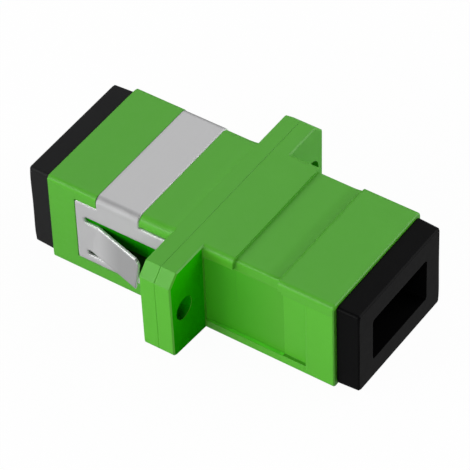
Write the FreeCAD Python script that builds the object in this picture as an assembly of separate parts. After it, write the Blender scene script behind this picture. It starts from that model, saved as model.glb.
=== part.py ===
import FreeCAD, Part
import math
import os

# Fibre adapter for a panel cut-out, in millimetres.
# The origin is on the optical axis, at the seam between the two housing halves.
# +X runs along the axis to the front port, +Y to one ear of the flange, +Z to the top.
# Each half is drawn pointing to +X, and what belongs to the rear is mirrored to -X.

# Housing, over both halves
body_length = 27.6
body_width = 12.8
body_height = 9.08
collar_edge_radius = 0.45
front_band_edge_radius = 0.5
rear_band_edge_radius = 0.8
bottom_edge_radius = 0.28
end_edge_bevel = 0.1
step_ramp_length = 1.0
step_ramp_sections = 5

# Flange with its two ears, half of it on each housing half
flange_width = 21.94
flange_thickness = 3.0
flange_rise = 0.13
flange_foot_lift = 0.06
ear_foot_rise = 0.4
ear_chamfer = 1.04
ear_draft = 0.15
ear_foot_radius = 0.4
ear_edge_bevel = 0.12
seam_bevel = 0.03
screw_hole_inset = 1.77
screw_hole_radius = 1.05
screw_hole_rise = 0.2

# Folded sheet clip
sheet_thickness = 0.28
strap_width = 4.15
strap_bend_radius = 0.3
plate_top = 3.3
plate_bottom = 3.01
plate_wing_reach = 2.15
plate_corner_radius = 0.2
bar_height = 1.43
strip_height = 0.62
upper_slit_width = 0.7
upper_slit_reach = 1.17
lower_slit_width = 0.54
slit_hole_radius = 0.3
tab_bend_offset = 0.2
tab_bend_lean = 0.24
tab_bend_radius = 1.2
tab_angle = 16
tab_reach = 5.3
tab_end_slant = 0.42
tab_corner_radius = 0.5

# Recesses in the housing for the clip
front_strap_start = 4.36
rear_strap_start = 4.7
front_bed_drop = 0.12
sheet_clearance = 0.03
strap_side_clearance = 0.05
recess_rim = 0.2
recess_clearance = 0.12
recess_headroom = 0.3
recess_floor_drop = 0.04
front_recess_bottom = 3.6
front_recess_flange_depth = 0.15
rear_recess_flange_depth = 1.05
recess_curve_length = 3.5
wing_clearance = 0.08
wing_length = 2.2

# Port cavity
port_width = 9.0
port_height = 7.4
port_corner_radius = 0.25
port_lead_in = 0.3
key_width = 2.4
key_depth = 0.32

# Latch insert: plate in a seat at the seam, sleeve barrel and two latch arms
insert_width = 10.3
insert_height = 7.8
insert_plate = 0.85
insert_clearance = 0.05
insert_corner_radius = 0.6
barrel_radius = 2.3
barrel_lip = 0.45
barrel_lead_in = 0.25
root_radius = 0.3
arm_width = 3.2
arm_thickness = 0.7
arm_offset = 3.05
arm_reach = 8.6
hook_height = 0.55
hook_flat = 0.3
hook_ramp = 0.7
rib_width = 0.6
rib_length = 2.4

# Alignment sleeve and the ferrules that it takes
sleeve_length = 11.4
sleeve_outer_radius = 1.6
sleeve_bore_radius = 1.25
sleeve_slot = 0.5
sleeve_clearance = 0.05
ferrule_clearance = 0.2

# Dust cap
cap_side_inset = 0.35
cap_top_inset = 0.27
cap_head_length = 2.1
cap_draft = 0.07
cap_edge_radius = 0.3
cap_seat_bevel = 0.1
cap_end_bevel = 0.14
cap_pocket_width = 8.0
cap_pocket_height = 4.4
cap_pocket_corner = 0.3
cap_pocket_depth = 4.5
cap_web = 0.8
plug_clearance = 0.1
plug_length = 4.8
plug_wall = 0.85
plug_corner_radius = 0.35
tongue_width = 3.4
tongue_thickness = 0.7
tongue_length = 3.6
tongue_tip_taper = 0.3

# Worked out from the sizes above
body_end = body_length / 2
half_width = body_width / 2
half_height = body_height / 2
raised_top = half_height + flange_rise
flange_half = flange_thickness / 2
sheet_depth = sheet_thickness + sheet_clearance
bed_top = half_height - sheet_depth
front_bed_top = half_height - front_bed_drop
recess_top = plate_top + recess_headroom
recess_bottom = plate_bottom + recess_clearance
recess_depth = sheet_depth + recess_floor_drop
strap_recess_length = strap_width + 2 * strap_side_clearance
recess_start = flange_half + recess_rim
strap_start = rear_strap_start + strap_side_clearance
strap_end = strap_start + strap_width
plate_end = strap_end + plate_wing_reach
plate_start = recess_start + wing_clearance
wing_end = plate_end + wing_clearance
wing_start = wing_end - wing_length
tab_top = plate_top - bar_height - upper_slit_width
tab_bottom = strip_height + lower_slit_width - plate_bottom
tab_root = strap_end + tab_bend_offset
seat_depth = insert_plate + insert_clearance
barrel_bore = sleeve_outer_radius + sleeve_clearance
barrel_end = sleeve_length / 2 + sleeve_clearance + barrel_lip
X_AXIS = FreeCAD.Vector(1, 0, 0)
Y_AXIS = FreeCAD.Vector(0, 1, 0)
Z_AXIS = FreeCAD.Vector(0, 0, 1)
ORIGIN = FreeCAD.Vector(0, 0, 0)


def vec(x, y, z):
    return FreeCAD.Vector(x, y, z)


def box(x0, x1, y0, y1, z0, z1):
    return Part.makeBox(x1 - x0, y1 - y0, z1 - z0, vec(x0, y0, z0))


def rod(radius, x0, x1, y=0.0, z=0.0):
    return Part.makeCylinder(radius, x1 - x0, vec(x0, y, z), X_AXIS)


def cone(radius0, radius1, x0, x1):
    return Part.makeCone(radius0, radius1, x1 - x0, vec(x0, 0, 0), X_AXIS)


def fused(shapes):
    shape = shapes[0].multiFuse(shapes[1:])
    return shape.removeSplitter()


def mirror_y(shape):
    return shape.mirror(ORIGIN, Y_AXIS)


def to_rear(shape):
    return shape.mirror(ORIGIN, X_AXIS)


def polygon_prism(points, direction):
    wire = Part.makePolygon(points + points[:1])
    return Part.Face(wire).extrude(direction)


def rounded_outline(x, half, bottom, top, bottom_radius, top_radius):
    """Closed upright outline at x, with round lower and upper corners."""
    corners = [(half, top, top_radius, 0), (-half, top, top_radius, 90),
               (-half, bottom, bottom_radius, 180), (half, bottom, bottom_radius, 270)]
    edges = []
    ends = []
    for y, z, radius, start in corners:
        if radius == 0:
            ends.append((vec(x, y, z), vec(x, y, z)))
            continue
        centre_y = y - math.copysign(radius, y)
        centre_z = z - radius if z == top else z + radius
        spots = []
        for angle in (start, start + 45, start + 90):
            turn = math.radians(angle)
            spots.append(vec(x, centre_y + radius * math.cos(turn), centre_z + radius * math.sin(turn)))
        edges.append(Part.Arc(*spots).toShape())
        ends.append((spots[0], spots[2]))
    for index in range(4):
        leave = ends[index][1]
        arrive = ends[(index + 1) % 4][0]
        edges.append(Part.makeLine(leave, arrive))
    return Part.Wire(Part.sortEdges(edges)[0])


def slab(x0, x1, half, bottom, top, bottom_radius=0, top_radius=0):
    outline = rounded_outline(x0, half, bottom, top, bottom_radius, top_radius)
    return Part.Face(outline).extrude(vec(x1 - x0, 0, 0))


def edges_at(shape, x):
    """Edges that lie wholly in the upright plane at x."""
    found = []
    for edge in shape.Edges:
        limits = edge.BoundBox
        if abs(limits.XMin - x) < 1e-4 and abs(limits.XMax - x) < 1e-4:
            found.append(edge)
    return found


def make_flange_half():
    """Flange plate with bevelled upper corners, and ears that rise and narrow a little at the foot."""
    half = flange_width / 2
    foot = half - ear_draft
    bottom = flange_foot_lift - half_height
    foot_bottom = bottom + ear_foot_rise
    outline = [vec(0, -half_width, bottom), vec(0, half_width, bottom), vec(0, foot, foot_bottom),
               vec(0, half, raised_top - ear_chamfer), vec(0, half - ear_chamfer, raised_top),
               vec(0, ear_chamfer - half, raised_top), vec(0, -half, raised_top - ear_chamfer),
               vec(0, -foot, foot_bottom)]
    plate = polygon_prism(outline, vec(flange_half, 0, 0))
    feet = []
    for edge in plate.Edges:
        limits = edge.BoundBox
        along = limits.XLength > flange_half - 0.01
        if along and limits.ZMax < 0 and abs(limits.YMin) > foot - 0.01:
            feet.append(edge)
    plate = plate.makeFillet(ear_foot_radius, feet)
    plate = plate.makeChamfer(ear_edge_bevel, edges_at(plate, flange_half))
    return plate.makeChamfer(seam_bevel, edges_at(plate, 0))


def make_step_ramp(x_low, x_high, half, z_low, z_high, edge_radius):
    """Ramp across the body that starts level and curves up from z_low to z_high."""
    outlines = []
    for section in range(step_ramp_sections + 1):
        share = section / step_ramp_sections
        x = x_low + (x_high - x_low) * share
        top = z_low + (z_high - z_low) * share * share
        outlines.append(rounded_outline(x, half, 0, top, 0, edge_radius))
    return Part.makeLoft(outlines, True, True)


def make_front_ramp():
    """Ramp at the end of the front half's open strap bed, up to its collar."""
    end = front_strap_start + strap_recess_length
    return make_step_ramp(end - step_ramp_length, end, half_width - recess_depth,
                          front_bed_top, half_height, strap_bend_radius)


def make_rear_ramp():
    """Ramp from the rear half's band up to the flange, with its crest inside the flange."""
    end = flange_half + step_ramp_length
    ramp = make_step_ramp(-end, -flange_half, half_width, half_height, raised_top,
                          rear_band_edge_radius)
    crest = slab(flange_half / 2, flange_half, half_width, 0, raised_top, 0, rear_band_edge_radius)
    return to_rear(ramp).fuse(crest)


def make_body_half(strap_from, band_top, band_edge_radius, bed_height):
    """Outside of one half: band beside the flange, sunk strap bed and collar."""
    strap_to = strap_from + strap_recess_length
    band = slab(flange_half / 2, strap_from, half_width, -half_height, band_top,
                bottom_edge_radius, band_edge_radius)
    bed_foot = slab(strap_from, strap_to, half_width, -half_height, 0, bottom_edge_radius, 0)
    bed = slab(strap_from, strap_to, half_width - recess_depth, -recess_bottom, bed_height,
               0, strap_bend_radius)
    collar = slab(strap_to, body_end, half_width, -half_height, half_height,
                  bottom_edge_radius, collar_edge_radius)
    collar = collar.makeChamfer(end_edge_bevel, edges_at(collar, body_end))
    return [band, bed_foot, bed, collar]


def make_side_recess(start, flange_depth, bottom):
    """Space beside the body for a clip plate, with a floor that curves towards the flange."""
    outside = half_width + 1
    floor = half_width - recess_depth
    drop = flange_depth - recess_depth
    radius = (recess_curve_length ** 2 + drop * drop) / (2 * abs(drop))
    sag = radius - math.sqrt(radius * radius - recess_curve_length ** 2 / 4)
    at_flange = vec(start, floor - drop, -bottom)
    middle = vec(start + recess_curve_length / 2, floor - math.copysign(sag, drop), -bottom)
    level = vec(start + recess_curve_length, floor, -bottom)
    corners = [vec(wing_start, floor, -bottom), vec(wing_start, outside, -bottom),
               vec(start, outside, -bottom)]
    edges = [Part.Arc(at_flange, middle, level).toShape(), Part.makeLine(level, corners[0]),
             Part.makeLine(corners[0], corners[1]), Part.makeLine(corners[1], corners[2]),
             Part.makeLine(corners[2], at_flange)]
    curved = Part.Face(Part.Wire(edges)).extrude(vec(0, 0, bottom + recess_top))
    wing = box(wing_start, wing_end, half_width - sheet_depth, outside,
               recess_clearance - wing_clearance - bottom, plate_top + wing_clearance)
    return curved.fuse(wing)


def make_port_space():
    """Inside of one half: seat of the latch insert, connector cavity with a mouth and keyway."""
    seat = slab(-1, seat_depth, insert_width / 2 + insert_clearance,
                -insert_height / 2 - insert_clearance, insert_height / 2 + insert_clearance,
                insert_corner_radius, insert_corner_radius)
    port_top = port_height / 2
    cavity = slab(0, body_end + 1, port_width / 2, -port_top, port_top,
                  port_corner_radius, port_corner_radius)
    narrow = rounded_outline(body_end - port_lead_in, port_width / 2, -port_top, port_top,
                             port_corner_radius, port_corner_radius)
    wide = rounded_outline(body_end, port_width / 2 + port_lead_in, -port_top - port_lead_in / 2,
                           port_top + port_lead_in / 2, port_corner_radius, port_corner_radius)
    mouth = Part.makeLoft([narrow, wide], True, True)
    keyway = box(seat_depth + insert_plate, body_end + 1, -key_width / 2, key_width / 2,
                 -port_top - key_depth, 0)
    return fused([seat, cavity, keyway]).fuse(mouth)


def make_housing_half(body, ramp, recess):
    """One half: its outside with the flange, less the side recesses, the port and the screw holes."""
    shape = fused([make_flange_half(), ramp] + body)
    hole_offset = flange_width / 2 - screw_hole_inset
    holes = [rod(screw_hole_radius, -1, flange_half + 1, side * hole_offset, screw_hole_rise)
             for side in (-1, 1)]
    shape = shape.cut([recess, mirror_y(recess), make_port_space()] + holes)
    return shape.removeSplitter()


def make_latch_arm():
    """One latch arm with an inward hook, drawn on the +Y side."""
    inner = arm_offset
    outer = arm_offset + arm_thickness
    hook_root = arm_reach - hook_ramp - hook_flat
    outline = [vec(insert_plate / 2, inner, 0), vec(hook_root, inner, 0),
               vec(hook_root, inner - hook_height, 0),
               vec(hook_root + hook_flat, inner - hook_height, 0),
               vec(arm_reach, inner + hook_flat / 2, 0), vec(arm_reach, outer - hook_flat / 2, 0),
               vec(arm_reach - hook_flat / 2, outer, 0), vec(insert_plate / 2, outer, 0)]
    arm = polygon_prism(outline, vec(0, 0, arm_width))
    arm.translate(vec(0, 0, -arm_width / 2))
    return arm


def make_latch_insert():
    """Plate with half of the sleeve barrel, two latch arms and four ribs."""
    plate = slab(0, insert_plate, insert_width / 2, -insert_height / 2, insert_height / 2,
                 insert_corner_radius, insert_corner_radius)
    barrel = rod(barrel_radius, insert_plate / 2, barrel_end - barrel_lead_in)
    nose = cone(barrel_radius, barrel_radius - barrel_lead_in, barrel_end - barrel_lead_in, barrel_end)
    root = cone(barrel_radius + root_radius, barrel_radius, insert_plate, insert_plate + root_radius)
    upright = polygon_prism([vec(insert_plate / 2, -rib_width / 2, 0),
                             vec(insert_plate / 2, -rib_width / 2, insert_height / 2 - rib_width),
                             vec(insert_plate, -rib_width / 2, insert_height / 2 - rib_width),
                             vec(insert_plate + rib_length, -rib_width / 2, barrel_radius),
                             vec(insert_plate + rib_length, -rib_width / 2, 0)],
                            vec(0, rib_width, 0))
    lower = upright.mirror(ORIGIN, Z_AXIS)
    arm = make_latch_arm()
    shape = fused([plate, barrel, nose, root, upright, lower, arm, mirror_y(arm)])
    bore = rod(barrel_bore, -1, sleeve_length / 2 + sleeve_clearance)
    ferrule_radius = sleeve_bore_radius + ferrule_clearance
    passage = rod(ferrule_radius, 0, barrel_end + 1)
    funnel = cone(ferrule_radius, ferrule_radius + barrel_lead_in, barrel_end - barrel_lead_in, barrel_end)
    return shape.cut([bore, passage, funnel])


def make_alignment_sleeve():
    half = sleeve_length / 2
    tube = rod(sleeve_outer_radius, -half, half).cut(rod(sleeve_bore_radius, -half, half))
    slot = box(-half, half, -sleeve_slot / 2, sleeve_slot / 2, 0, sleeve_outer_radius + 1)
    return tube.cut(slot)


def make_clip_strap():
    """Strap over the top of the body with its two bends, down to the side plates."""
    foot = plate_top - bar_height / 2
    over = slab(strap_start, strap_end, half_width, foot, half_height,
                0, strap_bend_radius + sheet_thickness)
    under = slab(strap_start, strap_end, half_width - sheet_thickness, 0,
                 half_height - sheet_thickness, 0, strap_bend_radius)
    return over.cut(under)


def make_side_plate():
    """Flat side plate on the +Y side, with the slits that free its spring tab."""
    inside = half_width - sheet_thickness
    plate = box(plate_start, plate_end, inside, half_width, -plate_bottom, plate_top)
    uprights = [edge for edge in plate.Edges
                if edge.BoundBox.YLength > sheet_thickness / 2 and edge.BoundBox.XMin > plate_end - 0.01]
    plate = plate.makeFillet(plate_corner_radius, uprights)
    slit_top = plate_top - bar_height
    slit_bottom = strip_height - plate_bottom
    slit_end = tab_root + upper_slit_reach
    low_root = tab_root + tab_bend_lean * (tab_top - tab_bottom)
    hole_height = tab_bottom - lower_slit_width + slit_hole_radius
    window = polygon_prism([vec(0, inside, slit_bottom), vec(low_root, inside, slit_bottom),
                            vec(low_root, inside, tab_bottom), vec(tab_root, inside, tab_top),
                            vec(slit_end, inside, tab_top), vec(slit_end, inside, slit_top),
                            vec(0, inside, slit_top)], vec(0, sheet_thickness, 0))
    slit_corners = [edge for edge in window.Edges
                    if edge.BoundBox.YLength > sheet_thickness / 2 and edge.BoundBox.XMin > slit_end - 0.01]
    window = window.makeFillet(upper_slit_width * 0.45, slit_corners)
    hole = Part.makeCylinder(slit_hole_radius, sheet_thickness, vec(low_root, inside, hole_height), Y_AXIS)
    return plate.cut([window, hole])


def make_spring_tab():
    """Tab on the +Y side, bent outwards along a leaning line, with a slanted free end."""
    height = tab_top - tab_bottom
    low_root = tab_root + tab_bend_lean * height
    turn = math.radians(tab_angle)
    centre = vec(low_root, half_width + tab_bend_radius, tab_bottom)

    def on_bend(radius, angle):
        return centre + vec(-radius * math.sin(angle), -radius * math.cos(angle), 0)

    outer = tab_bend_radius
    inner = tab_bend_radius + sheet_thickness
    along = vec(-math.cos(turn), math.sin(turn), 0) * (2 * tab_reach)
    outer_far = on_bend(outer, turn) + along
    inner_far = on_bend(inner, turn) + along
    edges = [Part.makeLine(on_bend(inner, 0), on_bend(outer, 0)),
             Part.Arc(on_bend(outer, 0), on_bend(outer, turn / 2), on_bend(outer, turn)).toShape(),
             Part.makeLine(on_bend(outer, turn), outer_far),
             Part.makeLine(outer_far, inner_far),
             Part.makeLine(inner_far, on_bend(inner, turn)),
             Part.Arc(on_bend(inner, turn), on_bend(inner, turn / 2), on_bend(inner, 0)).toShape()]
    sheet = Part.Face(Part.Wire(edges)).extrude(vec(-tab_bend_lean * height, 0, height))
    tip = tab_root - tab_reach
    outline = [vec(low_root, 0, tab_bottom), vec(tip + tab_end_slant, 0, tab_bottom),
               vec(tip, 0, tab_top), vec(low_root, 0, tab_top)]
    trim = polygon_prism(outline, vec(0, body_width, 0))
    corner = [edge for edge in trim.Edges
              if edge.BoundBox.YLength > half_width and edge.BoundBox.XMax < tip + 0.01]
    trim = trim.makeFillet(tab_corner_radius, corner)
    return sheet.common(trim)


def make_panel_clip():
    side = make_side_plate().fuse(make_spring_tab())
    return to_rear(fused([make_clip_strap(), side, mirror_y(side)]))


def make_cap_head():
    """Head of the dust cap: a bevel at its seat, round edges, a slight draft and a bevelled end."""
    half = half_width - cap_side_inset
    tall = half_height - cap_top_inset
    places = [(0, cap_seat_bevel), (cap_seat_bevel, 0), (cap_head_length, cap_draft)]
    outlines = []
    for along, inset in places:
        outlines.append(rounded_outline(body_end + along, half - inset, inset - tall, tall - inset,
                                        cap_edge_radius, cap_edge_radius))
    head = Part.makeLoft(outlines, True, True)
    return head.makeChamfer(cap_end_bevel, edges_at(head, body_end + cap_head_length))


def make_dust_cap():
    """Hollow plug with two tongues, a web across it and an oblong pocket in its end face."""
    plug_half = port_width / 2 - plug_clearance
    plug_top = port_height / 2 - plug_clearance
    plug_end = body_end - plug_length
    plug = slab(plug_end, body_end, plug_half, -plug_top, plug_top, plug_corner_radius, plug_corner_radius)
    tongue_tip = plug_end - tongue_length
    half_tongue = tongue_width / 2
    tongue = polygon_prism([vec(tongue_tip, -half_tongue, plug_top - tongue_tip_taper),
                            vec(tongue_tip + tongue_tip_taper, -half_tongue, plug_top),
                            vec(body_end - plug_length / 2, -half_tongue, plug_top),
                            vec(body_end - plug_length / 2, -half_tongue, plug_top - tongue_thickness),
                            vec(tongue_tip, -half_tongue, plug_top - tongue_thickness)],
                           vec(0, tongue_width, 0))
    web_outer = body_end + cap_head_length - cap_pocket_depth
    web_inner = web_outer - cap_web
    cavity = slab(plug_end - 1, web_inner, plug_half - plug_wall, plug_wall - plug_top,
                  plug_top - plug_wall, plug_corner_radius, plug_corner_radius)
    pocket = slab(web_outer, body_end + cap_head_length + 1, cap_pocket_width / 2,
                  -cap_pocket_height / 2, cap_pocket_height / 2, cap_pocket_corner, cap_pocket_corner)
    body = fused([make_cap_head(), plug]).cut([cavity, pocket])
    return body.fuse([tongue, tongue.mirror(ORIGIN, Z_AXIS)]).removeSplitter()


def main():
    front_body = make_body_half(front_strap_start, raised_top, front_band_edge_radius, front_bed_top)
    front_recess = make_side_recess(flange_half, front_recess_flange_depth, front_recess_bottom)
    front_housing = make_housing_half(front_body, make_front_ramp(), front_recess)
    rear_body = make_body_half(rear_strap_start, half_height, rear_band_edge_radius, bed_top)
    rear_recess = make_side_recess(recess_start, rear_recess_flange_depth, recess_bottom)
    rear_housing = make_housing_half(rear_body, make_rear_ramp(), rear_recess)
    insert = make_latch_insert()
    cap = make_dust_cap()
    nodes = {
        "housing_front": front_housing,
        "housing_rear": to_rear(rear_housing),
        "latch_insert_front": insert,
        "latch_insert_rear": to_rear(insert),
        "alignment_sleeve": make_alignment_sleeve(),
        "panel_clip": make_panel_clip(),
        "dust_cap_front": cap,
        "dust_cap_rear": to_rear(cap),
    }
    for name, shape in nodes.items():
        shape.exportStep(os.path.join("parts", name + ".step"))
        print(name, "valid" if shape.isValid() else "not valid", len(shape.Solids), "solid,",
              round(shape.Volume, 2), "cubic mm")


os.makedirs("parts", exist_ok=True)
main()
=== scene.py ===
import math

import bpy
from bpy.props import FloatProperty, FloatVectorProperty, PointerProperty
from mathutils import Matrix, Vector


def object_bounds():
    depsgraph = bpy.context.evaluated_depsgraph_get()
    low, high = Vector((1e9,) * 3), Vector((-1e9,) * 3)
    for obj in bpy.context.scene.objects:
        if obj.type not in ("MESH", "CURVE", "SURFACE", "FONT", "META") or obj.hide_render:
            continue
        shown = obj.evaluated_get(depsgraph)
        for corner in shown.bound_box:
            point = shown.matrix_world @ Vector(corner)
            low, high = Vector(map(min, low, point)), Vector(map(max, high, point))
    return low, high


bl_info = {
    "name": "Fibre Adapter Finish",
    "version": (1, 0, 0),
    "blender": (4, 5, 0),
    "location": "3D View > Sidebar > Adapter",
    "description": "Moulded, sheet metal and ceramic finishes and a white studio for the adapter",
    "category": "Object",
}

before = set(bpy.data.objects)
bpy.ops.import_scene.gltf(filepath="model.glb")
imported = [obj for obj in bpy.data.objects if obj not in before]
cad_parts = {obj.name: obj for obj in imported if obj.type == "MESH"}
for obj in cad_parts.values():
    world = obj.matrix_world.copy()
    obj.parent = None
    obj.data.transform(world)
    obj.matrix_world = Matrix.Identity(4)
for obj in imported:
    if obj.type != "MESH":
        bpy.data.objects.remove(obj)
cad_low, cad_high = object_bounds()

MM = 0.001

# Studio, in metres, but for the camera's sensor, which Blender takes in millimetres
SENSOR_WIDTH = 36.0
CLIP_START = 0.01
CLIP_END = 10.0
LAMP_DISTANCE = 0.5
LAMP_SIZE = 0.5
LAMP_DIRECTIONS = {
    "side_lamp": (0.0, -1.0, 0.12),
    "low_lamp": (-0.7, -0.7, 0.15),
    "end_lamp": (0.7, 0.7, 0.4),
    "back_lamp": (-0.416, 0.578, 0.702),
}
WHITE = (1.0, 1.0, 1.0, 1.0)
FLOOR_SIZE = 3.0
FLOOR_GAP = 0.02 * MM
FLOOR_PAINT = (0.95, 0.95, 0.95)

# How white the floor is to the camera, and how bright it is where the adapter mirrors it
FLOOR_GLOW = 0.97
FLOOR_MIRROR = 0.46

# Places on the adapter, in millimetres along (X) or across (Y) it, or above its axis (Z)
FLANGE_FACE = 1.5
TAB_END = -4.4
BED_DIP_START = 7.2
FRONT_COLLAR_START = 8.55
FRONT_WING_START = 8.93
FRONT_WING_END = 11.13
LIP_WIDTH = 0.18
DEEPEST_FLOOR = 5.2
STRIP_INSIDE = 6.0
SIDE_FLOOR_LIMIT = 6.3
EAR_START = 6.5
HOLE_INSIDE = 8.1
HOLE_OUTSIDE = 10.3
HOLE_REACH = 1.3
PLATE_TOP = 3.3
STRIP_START = 3.4
STRAP_UNDERSIDE = 4.0

# How far the hole's shade stops short of the flange's face, and the ear's starts behind it
HOLE_MARGIN = 0.05
EAR_MARGIN = 0.2

# Least share of a face's direction along an axis for it to face that way, roughly or squarely
FACING = 0.7
SQUARELY = 0.9

# Lean of the housing's faces, in millimetres for each millimetre, and the curve of its front bed
STRIP_LEAN = -0.25
REAR_SIDE_LEAN = -0.34
FLOOR_LEAN = 0.3
LEDGE_LEAN = 1.2
LIP_LEAN = 0.4
BED_DIP = 0.22

# Painted shade: dull greens without reflection, painted where the housing lies in shade (behind the
# clip, in the lower slit, in the near screw hole, on the near ear's face, in the front recess),
# painted light on the front ledge, and how fast the front recess's painted shade fades in a
# millimetre
BEHIND_CLIP_PAINTED_SHADE = (0.004, 0.2, 0.0, 1.0)
LOWER_SLIT_PAINTED_SHADE = (0.008, 0.03, 0.006, 1.0)
SCREW_HOLE_PAINTED_SHADE = (0.004, 0.3, 0.0, 1.0)
EAR_FACE_PAINTED_SHADE = (0.014, 0.41, 0.0, 1.0)
FRONT_RECESS_PAINTED_SHADE = (0.042, 0.372, 0.009, 1.0)
LEDGE_PAINTED_LIGHT = (0.1, 0.75, 0.03, 1.0)
RECESS_SHADE_FADE = 0.13
PAINTED_SHADE_ROUGHNESS = 0.9

# Noise in the finishes: waves in a millimetre, and layers of finer detail
NOISE_MEAN = 0.5
CLOUDS = (0.35, 3.0)
SKIN = (1.6, 2.0)
GRAIN = (11.0, 2.0)
SHEET_CLOUDS = (0.5, 2.0)
STREAKS = (14.0, 3.0)
RINGS = (16.0, 2.0)
EVEN = (1.0, 1.0, 1.0)
ALONG_STRIP = (1.0, 0.02, 0.02)
ROUND_SLEEVE = (1.0, 0.05, 0.05)

# Moulded plastic: tone, gloss and relief of its noise, with reliefs and edges in millimetres
HOUSING_CLOUD = 0.04
CAP_CLOUD = 0.1
INSERT_CLOUD = 0.03
SKIN_GLOSS = 0.1
GRAIN_GLOSS = 0.06
SKIN_SHARE = 0.5
GRAIN_DEPTH = 0.0016
MOULDED_EDGE = 0.06
MOULDED_SHINE = 0.5
CAP_SHINE = 0.05

# Rolled steel: its darkest and lightest tone, the painted highlight on its sheared and upward
# edges, and the painted shade on its bends and leaning tabs
SHEET_DARK = 0.94
SHEET_LIGHT = 1.05
SHEARED_PAINTED_HIGHLIGHT = 1.6
BEND_PAINTED_SHADE = 0.6
BEND_SHADE_SHARE = 2.0
TAB_PAINTED_SHADE = 0.68
TAB_SHADE_FADE = 0.4
TAB_SHADE_FADE_START = 3.5
TAB_LEAST_LEAN = 0.1
TAB_MOST_LEAN = 0.6
STREAK_SHARE = 0.5
STREAK_GLOSS = 0.16
SHEET_CLOUD_GLOSS = 0.06
STREAK_DEPTH = 0.0006
STEEL_EDGE = 0.3

# Ground ceramic: its darkest and lightest tone, and the gloss and relief of the rings
CERAMIC_DARK = 0.97
CERAMIC_LIGHT = 1.02
CERAMIC_ROUGHNESS = 0.16
RING_GLOSS = 0.1
RING_DEPTH = 0.0003
CERAMIC_EDGE = 0.04

# Sockets of the Mix node when it mixes colours
MIX_FACTOR = 0
MIX_FIRST = 6
MIX_SECOND = 7
MIX_RESULT = 2


class MouldedFinish(bpy.types.PropertyGroup):
    """Colours and gloss of the moulded pieces."""

    housing_colour: FloatVectorProperty(
        name="Housing", description="Leaf green of the two housing halves",
        default=(0.07, 0.385, 0.011), subtype="COLOR", min=0.0, max=1.0)
    housing_roughness: FloatProperty(
        name="Housing Roughness", description="Gloss of the housing, from mirror to chalk",
        default=0.5, subtype="FACTOR", min=0.0, max=1.0)
    # The front dust cap's deeper black is painted shade
    front_cap_painted_shade_colour: FloatVectorProperty(
        name="Front Dust Cap", description="Deep black of the dust cap in the plain front port",
        default=(0.0016, 0.0016, 0.0018), subtype="COLOR", min=0.0, max=1.0)
    # The rear dust cap's greyer black is painted light
    rear_cap_painted_light_colour: FloatVectorProperty(
        name="Rear Dust Cap", description="Greyer black of the dust cap at the clip's end",
        default=(0.013, 0.013, 0.0134), subtype="COLOR", min=0.0, max=1.0)
    cap_roughness: FloatProperty(
        name="Dust Cap Roughness", description="Gloss of the dust caps, from mirror to chalk",
        default=0.45, subtype="FACTOR", min=0.0, max=1.0)
    insert_colour: FloatVectorProperty(
        name="Latch Insert", description="Natural off-white of the latch inserts",
        default=(0.74, 0.71, 0.62), subtype="COLOR", min=0.0, max=1.0)
    insert_roughness: FloatProperty(
        name="Latch Insert Roughness", description="Gloss of the inserts, from mirror to chalk",
        default=0.42, subtype="FACTOR", min=0.0, max=1.0)


class HardFinish(bpy.types.PropertyGroup):
    """Colours of the steel clip and the ceramic sleeve."""

    steel_colour: FloatVectorProperty(
        name="Clip", description="Bare rolled spring steel",
        default=(0.6, 0.6, 0.605), subtype="COLOR", min=0.0, max=1.0)
    steel_roughness: FloatProperty(
        name="Clip Roughness", description="Satin of the rolled sheet",
        default=0.68, subtype="FACTOR", min=0.0, max=1.0)
    ceramic_colour: FloatVectorProperty(
        name="Sleeve", description="White of the ground ceramic sleeve",
        default=(0.82, 0.82, 0.79), subtype="COLOR", min=0.0, max=1.0)


class Studio(bpy.types.PropertyGroup):
    """Camera and lights of the white studio."""

    camera_turn: FloatProperty(
        name="Camera Turn", description="Bearing of the camera round the adapter",
        default=math.radians(35.7298), subtype="ANGLE")
    camera_height: FloatProperty(
        name="Camera Height", description="Height of the camera above the horizon",
        default=math.radians(44.5776), subtype="ANGLE")
    camera_roll: FloatProperty(
        name="Camera Roll", description="Tilt of the camera about its own line of sight",
        default=math.radians(-2.2459), subtype="ANGLE")
    camera_distance: FloatProperty(
        name="Camera Distance", description="From the middle of the adapter to the camera",
        default=276.6 * MM, subtype="DISTANCE", unit="LENGTH")
    aim_right: FloatProperty(
        name="Aim Right", description="How far the camera stands to the right of the middle",
        default=0.1023 * MM, subtype="DISTANCE", unit="LENGTH", precision=6)
    aim_up: FloatProperty(
        name="Aim Up", description="How far the camera stands above the adapter's middle",
        default=-0.0951 * MM, subtype="DISTANCE", unit="LENGTH", precision=6)
    focal_length: FloatProperty(
        name="Focal Length", description="Lens of the camera in millimetres",
        default=261.45, min=1.0)
    side_lamp: FloatProperty(
        name="Side Lamp", description="Strength of the lamp low on the near side",
        default=2.1, subtype="POWER", unit="POWER")
    low_lamp: FloatProperty(
        name="Low Lamp", description="Strength of the lamp low at the corner by the clip's end",
        default=3.3, subtype="POWER", unit="POWER")
    end_lamp: FloatProperty(
        name="End Lamp", description="Strength of the lamp beyond the plain front port",
        default=2.35, subtype="POWER", unit="POWER")
    back_lamp: FloatProperty(
        name="Back Lamp", description="Strength of the high lamp behind, which glints on the top",
        default=0.8, subtype="POWER", unit="POWER")
    room_light: FloatProperty(
        name="Room Light", description="Even light from all round",
        default=0.05, min=0.0)
    room_mirror: FloatProperty(
        name="Room in Reflections", description="Brightness of the room in a mirroring surface",
        default=0.2, min=0.0)


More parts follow.
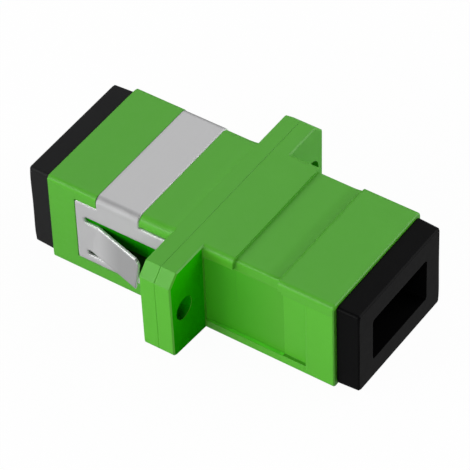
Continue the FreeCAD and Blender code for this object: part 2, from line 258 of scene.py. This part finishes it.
class Signal:
    """A socket of a material, so that sums of sockets are written as plain expressions."""

    def __init__(self, recipe, socket):
        self.recipe = recipe
        self.socket = socket

    def combined(self, operation, first, second):
        return self.recipe.add("ShaderNodeMath", {"operation": operation}, {0: first, 1: second})

    def __add__(self, other):
        return self.combined("ADD", self, other)

    def __radd__(self, other):
        return self.combined("ADD", other, self)

    def __sub__(self, other):
        return self.combined("SUBTRACT", self, other)

    def __rsub__(self, other):
        return self.combined("SUBTRACT", other, self)

    def __mul__(self, other):
        return self.combined("MULTIPLY", self, other)

    def __rmul__(self, other):
        return self.combined("MULTIPLY", other, self)

    def __gt__(self, other):
        return self.combined("GREATER_THAN", self, other)

    def __lt__(self, other):
        return self.combined("LESS_THAN", self, other)

    def __abs__(self):
        return self.recipe.add("ShaderNodeMath", {"operation": "ABSOLUTE"}, {0: self})

    def between(self, low, high):
        """One where the value lies between the two, and zero elsewhere."""
        return (self > low) * (self < high)


class Recipe:
    """Builds the nodes of one material, or of the room."""

    def __init__(self, owner):
        owner.use_nodes = True
        self.owner = owner
        self.tree = owner.node_tree
        self.tree.nodes.clear()

    def add(self, kind, settings=None, sockets=None, output=0):
        """One output of a new node with these settings and these values or links of its sockets."""
        node = self.tree.nodes.new(kind)
        for setting, value in (settings or {}).items():
            setattr(node, setting, value)
        for key, value in (sockets or {}).items():
            if isinstance(value, Signal):
                self.tree.links.new(value.socket, node.inputs[key])
            else:
                node.inputs[key].default_value = value
        return Signal(self, node.outputs[output])

    def parts(self, output):
        """The x, y and z of a texture coordinate."""
        vector = self.add("ShaderNodeTexCoord", output=output)
        return [self.add("ShaderNodeSeparateXYZ", {}, {0: vector}, axis) for axis in range(3)]

    def millimetres(self):
        """The x, y and z of a point of the piece, in millimetres."""
        return [part * (1.0 / MM) for part in self.parts("Object")]

    def noise(self, waves_and_detail, stretch=EVEN):
        """Noise with its mean near 0.5, on a place in millimetres stretched along each axis."""
        waves, detail = waves_and_detail
        coordinates = self.add("ShaderNodeTexCoord", output="Object")
        scale = tuple(value / MM for value in stretch)
        place = self.add("ShaderNodeMapping", {}, {"Vector": coordinates, "Scale": scale})
        return self.add("ShaderNodeTexNoise", {}, {
            "Vector": place, "Scale": waves, "Detail": detail})

    def blend(self, factor, first, second):
        """A colour between two, nearer the second as the factor rises."""
        return self.add("ShaderNodeMix", {"data_type": "RGBA"},
                        {MIX_FACTOR: factor, MIX_FIRST: first, MIX_SECOND: second}, MIX_RESULT)

    def relief(self, height, edge):
        """Normal of a surface with that relief and edges rounded by edge, in millimetres."""
        rounded = self.add("ShaderNodeBevel", {}, {"Radius": edge * MM})
        return self.add("ShaderNodeBump", {}, {
            "Height": height, "Distance": MM, "Normal": rounded})

    def principled(self, sockets):
        """A Principled shader with the values or links of its sockets."""
        return self.add("ShaderNodeBsdfPrincipled", {}, sockets)

    def mixed(self, share, first, second):
        """The first shader with a share of the second over it."""
        return self.add("ShaderNodeMixShader", {}, {0: share, 1: first, 2: second})

    def finish(self, shader, output="ShaderNodeOutputMaterial"):
        """Links the shader to the output, and returns what the recipe was made for."""
        self.tree.links.new(shader.socket, self.tree.nodes.new(output).inputs["Surface"])
        return self.owner


def tinted(colour, factor):
    """The colour made lighter or darker, with its alpha of one."""
    return tuple(min(1.0, value * factor) for value in colour) + (1.0,)


def housing_slopes(recipe):
    """Relief of the housing: its leaning sides, floors and ledges, its bed's dip and its steps."""
    x, y, z = recipe.millimetres()
    _, across, upward = recipe.parts("Normal")
    side = abs(y)
    beside_ears = side.between(STRIP_INSIDE, EAR_START) * (abs(x) > FLANGE_FACE)
    strip = (z - STRIP_START) * (z > STRIP_START) * (x > 0.0) * STRIP_LEAN * beside_ears
    rear_side = z * (x < 0.0) * REAR_SIDE_LEAN * beside_ears
    in_recess = x.between(FLANGE_FACE, FRONT_WING_START) * (side < SIDE_FLOOR_LIMIT)
    floor = (x - FLANGE_FACE) * FLOOR_LEAN * in_recess * (z < STRIP_START)
    past_wing = x - FRONT_WING_END
    lip = past_wing * past_wing.between(0.0, LIP_WIDTH) * (z < STRIP_START) * LIP_LEAN
    down_bed = x - BED_DIP_START
    dip = down_bed * down_bed * (down_bed > 0.0) * (x < FRONT_COLLAR_START) * BED_DIP
    up_collar = x - FRONT_COLLAR_START
    rise = up_collar * up_collar.between(0.0, LIP_WIDTH) * LIP_LEAN
    ledge = side * (side > DEEPEST_FLOOR) * (z < 0.0) * (x < FRONT_WING_START) * LEDGE_LEAN
    on_sides = (lip - strip - rear_side - floor) * (abs(across) > FACING)
    on_tops = (rise - dip - ledge) * (upward > FACING)
    return on_sides + on_tops


def painted_shade_and_light(recipe):
    """Painted shade in dull greens in the housing's recesses, near screw hole and near ear, and
    painted light on the front ledge, with the share of each.
    """
    x, y, z = recipe.millimetres()
    along, across, upward = recipe.parts("Normal")
    side = abs(y)
    on_floor = side.between(DEEPEST_FLOOR, SIDE_FLOOR_LIMIT) * (abs(across) > FACING)
    recess = on_floor * (z < PLATE_TOP)
    front_stretch = x.between(FLANGE_FACE, FRONT_WING_START)
    shade_behind_clip = recess * (x < -FLANGE_FACE)
    shade_in_lower_slit = shade_behind_clip * (z < 0.0) * (x < TAB_END)
    beside_hole = y.between(-HOLE_OUTSIDE, -HOLE_INSIDE) * (abs(z) < HOLE_REACH)
    shade_in_screw_hole = beside_hole * (abs(x) < FLANGE_FACE - HOLE_MARGIN)
    # Painted shade on the near ear's face only, where the body shades it
    shade_on_near_ear_face = (y < -EAR_START) * (x > FLANGE_FACE - EAR_MARGIN) * (along > SQUARELY)
    shade_in_front_recess = recess * front_stretch
    # Painted light: the front ledge's top is painted a light green
    ledge = (upward > FACING) * (z < 0.0) * (side > DEEPEST_FLOOR) * front_stretch
    green = BEHIND_CLIP_PAINTED_SHADE
    for place, painted_place_green in ((shade_in_lower_slit, LOWER_SLIT_PAINTED_SHADE), (shade_in_screw_hole, SCREW_HOLE_PAINTED_SHADE),
                               (shade_on_near_ear_face, EAR_FACE_PAINTED_SHADE), (shade_in_front_recess, FRONT_RECESS_PAINTED_SHADE),
                               (ledge, LEDGE_PAINTED_LIGHT)):
        green = recipe.blend(place, green, painted_place_green)
    front_recess_shade_fading = shade_in_front_recess * (FRONT_WING_START - x) * RECESS_SHADE_FADE
    return green, shade_behind_clip + shade_in_screw_hole + shade_on_near_ear_face + front_recess_shade_fading + ledge


def moulded_plastic(name, colour, roughness, shine, cloud, slopes=None, painted_shade=None):
    """Moulded plastic: faint flow clouds, a fine spark-eroded grain and an uneven gloss."""
    recipe = Recipe(bpy.data.materials.new(name))
    clouds, grain, skin = [recipe.noise(kind) for kind in (CLOUDS, GRAIN, SKIN)]
    base = recipe.blend(clouds, tinted(colour, 1.0 - cloud), tinted(colour, 1.0 + cloud))
    gloss = roughness + (skin - NOISE_MEAN) * SKIN_GLOSS + (grain - NOISE_MEAN) * GRAIN_GLOSS
    height = (grain + skin * SKIN_SHARE) * GRAIN_DEPTH
    if slopes:
        height = height + slopes(recipe)
    normal = recipe.relief(height, MOULDED_EDGE)
    shader = recipe.principled({"Base Color": base, "Roughness": gloss, "Normal": normal,
                                "Specular IOR Level": shine})
    # Painted shade and painted light: a dull skin without reflection mixed in where the housing
    # lies in shade, and on the lit ledge
    if painted_shade:
        green, share = painted_shade(recipe)
        painted_shade_skin = recipe.principled({"Base Color": green, "Roughness": PAINTED_SHADE_ROUGHNESS,
                                  "Normal": normal, "Specular IOR Level": 0.0})
        shader = recipe.mixed(share, shader, painted_shade_skin)
    return recipe.finish(shader)


def sheet_painted_light(recipe):
    """Painted highlight on the sheet's sheared and upward edges, painted shade on its bends and
    leaning tabs, each with its tone.
    """
    x, _, z = recipe.millimetres()
    along, across, upward = [abs(part) for part in recipe.parts("Normal")]
    sheared_highlight = (along > FACING) + (upward > FACING) * (abs(z) < STRAP_UNDERSIDE)
    bend_shade = across * upward * BEND_SHADE_SHARE
    from_fold = x * TAB_SHADE_FADE + TAB_SHADE_FADE_START
    tab_shade = along.between(TAB_LEAST_LEAN, TAB_MOST_LEAN) * from_fold
    return (sheared_highlight, SHEARED_PAINTED_HIGHLIGHT), (bend_shade, BEND_PAINTED_SHADE), (tab_shade, TAB_PAINTED_SHADE)


def rolled_steel(name, colour, roughness):
    """Rolled sheet: fine streaks along the strip, which runs over the top and down the sides."""
    recipe = Recipe(bpy.data.materials.new(name))
    streaks = recipe.noise(STREAKS, ALONG_STRIP)
    cloud = recipe.noise(SHEET_CLOUDS)
    mottle = streaks * STREAK_SHARE + cloud * (1.0 - STREAK_SHARE)
    base = recipe.blend(mottle, tinted(colour, SHEET_DARK), tinted(colour, SHEET_LIGHT))
    # Painted highlight on the sheared edges and painted shade on the bends and leaning tabs,
    # blended over the steel's tone
    for painted_zone, painted_tone in sheet_painted_light(recipe):
        base = recipe.blend(painted_zone, base, tinted(colour, painted_tone))
    streak_gloss = (streaks - NOISE_MEAN) * STREAK_GLOSS
    gloss = roughness + streak_gloss + (cloud - NOISE_MEAN) * SHEET_CLOUD_GLOSS
    return recipe.finish(recipe.principled({
        "Base Color": base, "Roughness": gloss, "Metallic": 1.0,
        "Normal": recipe.relief(streaks * STREAK_DEPTH, STEEL_EDGE)}))


def ground_ceramic(name, colour):
    """Ground and polished ceramic: almost even, with faint rings from the grinding wheel."""
    recipe = Recipe(bpy.data.materials.new(name))
    rings = recipe.noise(RINGS, ROUND_SLEEVE)
    base = recipe.blend(rings, tinted(colour, CERAMIC_DARK), tinted(colour, CERAMIC_LIGHT))
    return recipe.finish(recipe.principled({
        "Base Color": base, "Roughness": CERAMIC_ROUGHNESS + rings * RING_GLOSS,
        "Normal": recipe.relief(rings * RING_DEPTH, CERAMIC_EDGE)}))


def white_floor(name, colour):
    """Pale floor that is white to the camera and still holds a soft shadow."""
    recipe = Recipe(bpy.data.materials.new(name))
    shader = recipe.add("ShaderNodeBsdfDiffuse", {}, {"Color": tinted(colour, 1.0)})
    for rays, share, strength in (("Is Glossy Ray", 1.0, FLOOR_MIRROR),
                                  ("Is Transmission Ray", 1.0, FLOOR_MIRROR),
                                  ("Is Camera Ray", FLOOR_GLOW, 1.0)):
        glow = recipe.add("ShaderNodeEmission", {}, {"Color": WHITE, "Strength": strength})
        seen = recipe.add("ShaderNodeLightPath", output=rays)
        shader = recipe.mixed(seen * share, shader, glow)
    return recipe.finish(shader)


def dress(node, material):
    """Gives a node of the frame its finished material."""
    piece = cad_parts[node]
    piece.data.materials.clear()
    piece.data.materials.append(material)


class ADAPTER_OT_housing(bpy.types.Operator):
    """Finish the two green housing halves"""

    bl_idname = "adapter.housing"
    bl_label = "Housing"

    def execute(self, context):
        finish = context.scene.adapter_moulded
        # The housing carries painted shade in its recesses, screw hole and near ear face, and
        # painted light on the front ledge
        material = moulded_plastic(
            "green_moulding", finish.housing_colour, finish.housing_roughness, MOULDED_SHINE,
            HOUSING_CLOUD, housing_slopes, painted_shade_and_light)
        for node in ("housing_front", "housing_rear"):
            dress(node, material)
        return {"FINISHED"}


class ADAPTER_OT_clip(bpy.types.Operator):
    """Finish the folded steel panel clip"""

    bl_idname = "adapter.clip"
    bl_label = "Panel Clip"

    def execute(self, context):
        finish = context.scene.adapter_hard
        dress("panel_clip", rolled_steel(
            "rolled_spring_steel", finish.steel_colour, finish.steel_roughness))
        return {"FINISHED"}


class ADAPTER_OT_dust_caps(bpy.types.Operator):
    """Finish the two black dust caps"""

    bl_idname = "adapter.dust_caps"
    bl_label = "Dust Caps"

    def execute(self, context):
        finish = context.scene.adapter_moulded
        # The caps differ only by painted light: the front cap's deeper black is painted shade, the
        # rear cap's greyer black is painted light
        for node, name, colour in (
                ("dust_cap_front", "deep_black_moulding", finish.front_cap_painted_shade_colour),
                ("dust_cap_rear", "soft_black_moulding", finish.rear_cap_painted_light_colour)):
            dress(node, moulded_plastic(
                name, colour, finish.cap_roughness, CAP_SHINE, CAP_CLOUD))
        return {"FINISHED"}


class ADAPTER_OT_alignment(bpy.types.Operator):
    """Finish the latch inserts and the ceramic sleeve between them"""

    bl_idname = "adapter.alignment"
    bl_label = "Latch Inserts and Sleeve"

    def execute(self, context):
        moulded, hard = context.scene.adapter_moulded, context.scene.adapter_hard
        material = moulded_plastic(
            "natural_moulding", moulded.insert_colour, moulded.insert_roughness, MOULDED_SHINE,
            INSERT_CLOUD)
        for node in ("latch_insert_front", "latch_insert_rear"):
            dress(node, material)
        dress("alignment_sleeve", ground_ceramic("ground_ceramic", hard.ceramic_colour))
        return {"FINISHED"}


def add_lamp(name, direction, power):
    """Square soft lamp that shines at the adapter from a direction."""
    lamp = bpy.data.lights.new(name, "AREA")
    lamp.shape = "SQUARE"
    lamp.size = LAMP_SIZE
    lamp.energy = power
    holder = bpy.data.objects.new(name, lamp)
    bpy.context.scene.collection.objects.link(holder)
    towards = Vector(direction).normalized()
    holder.location = towards * LAMP_DISTANCE
    holder.rotation_euler = towards.to_track_quat("Z", "Y").to_euler()


def add_camera(studio):
    """Camera at its bearing and height round the adapter, rolled and moved aside a little."""
    turn, height, roll = studio.camera_turn, studio.camera_height, studio.camera_roll
    back = Vector((math.sin(turn) * math.cos(height), -math.cos(turn) * math.cos(height),
                   math.sin(height)))
    level = Vector((0.0, 0.0, 1.0)).cross(back).normalized()
    upright = back.cross(level)
    right = math.cos(roll) * level + math.sin(roll) * upright
    up = math.cos(roll) * upright - math.sin(roll) * level
    lens = bpy.data.cameras.new("camera")
    lens.sensor_width = SENSOR_WIDTH
    lens.lens = studio.focal_length
    lens.clip_start = CLIP_START
    lens.clip_end = CLIP_END
    camera = bpy.data.objects.new("camera", lens)
    bpy.context.scene.collection.objects.link(camera)
    spot = back * studio.camera_distance + right * studio.aim_right + up * studio.aim_up
    axes = Matrix((right, up, back)).transposed().to_4x4()
    camera.matrix_world = Matrix.Translation(spot) @ axes
    bpy.context.scene.camera = camera


def light_room(studio):
    """Room that is white to the camera, and dimmer as the adapter's light and in its mirrors."""
    world = bpy.data.worlds.new("studio_room")
    bpy.context.scene.world = world
    recipe = Recipe(world)
    seen, glossy, clear = [recipe.add("ShaderNodeLightPath", output=rays) for rays in (
        "Is Camera Ray", "Is Glossy Ray", "Is Transmission Ray")]
    strength = (studio.room_light + seen * (1.0 - studio.room_light)
                + (glossy + clear) * (studio.room_mirror - studio.room_light))
    glow = recipe.add("ShaderNodeBackground", {}, {"Color": WHITE, "Strength": strength})
    recipe.finish(glow, "ShaderNodeOutputWorld")


class ADAPTER_OT_studio(bpy.types.Operator):
    """Set up the floor, the lamps, the room and the camera"""

    bl_idname = "adapter.studio"
    bl_label = "Studio"

    def execute(self, context):
        studio = context.scene.adapter_studio
        bpy.ops.mesh.primitive_plane_add(
            size=FLOOR_SIZE, location=(0.0, 0.0, cad_low.z - FLOOR_GAP))
        floor = context.object
        floor.name = "studio_floor"
        floor.data.materials.append(white_floor("floor_paint", FLOOR_PAINT))
        for name, direction in LAMP_DIRECTIONS.items():
            add_lamp(name, direction, getattr(studio, name))
        light_room(studio)
        add_camera(studio)
        context.scene.view_settings.view_transform = "Standard"
        return {"FINISHED"}


class ADAPTER_PT_panel(bpy.types.Panel):
    """Lists the steps that finish the adapter, and their settings"""

    bl_label = "Fibre Adapter"
    bl_space_type = "VIEW_3D"
    bl_region_type = "UI"
    bl_category = "Adapter"

    def draw(self, context):
        layout = self.layout
        for step in STEPS:
            layout.operator(step.bl_idname)
        for name, kind in GROUPS.items():
            box = layout.box()
            for setting in kind.__annotations__:
                box.prop(getattr(context.scene, name), setting)


STEPS = (ADAPTER_OT_housing, ADAPTER_OT_clip, ADAPTER_OT_dust_caps, ADAPTER_OT_alignment,
         ADAPTER_OT_studio)
GROUPS = {"adapter_moulded": MouldedFinish, "adapter_hard": HardFinish, "adapter_studio": Studio}
CLASSES = tuple(GROUPS.values()) + STEPS + (ADAPTER_PT_panel,)


def register():
    for kind in CLASSES:
        bpy.utils.register_class(kind)
    for name, kind in GROUPS.items():
        setattr(bpy.types.Scene, name, PointerProperty(type=kind))


def unregister():
    for name in GROUPS:
        delattr(bpy.types.Scene, name)
    for kind in reversed(CLASSES):
        bpy.utils.unregister_class(kind)


def main():
    register()
    bpy.ops.adapter.housing()
    bpy.ops.adapter.clip()
    bpy.ops.adapter.dust_caps()
    bpy.ops.adapter.alignment()
    bpy.ops.adapter.studio()


if __name__ == "__main__":
    main()
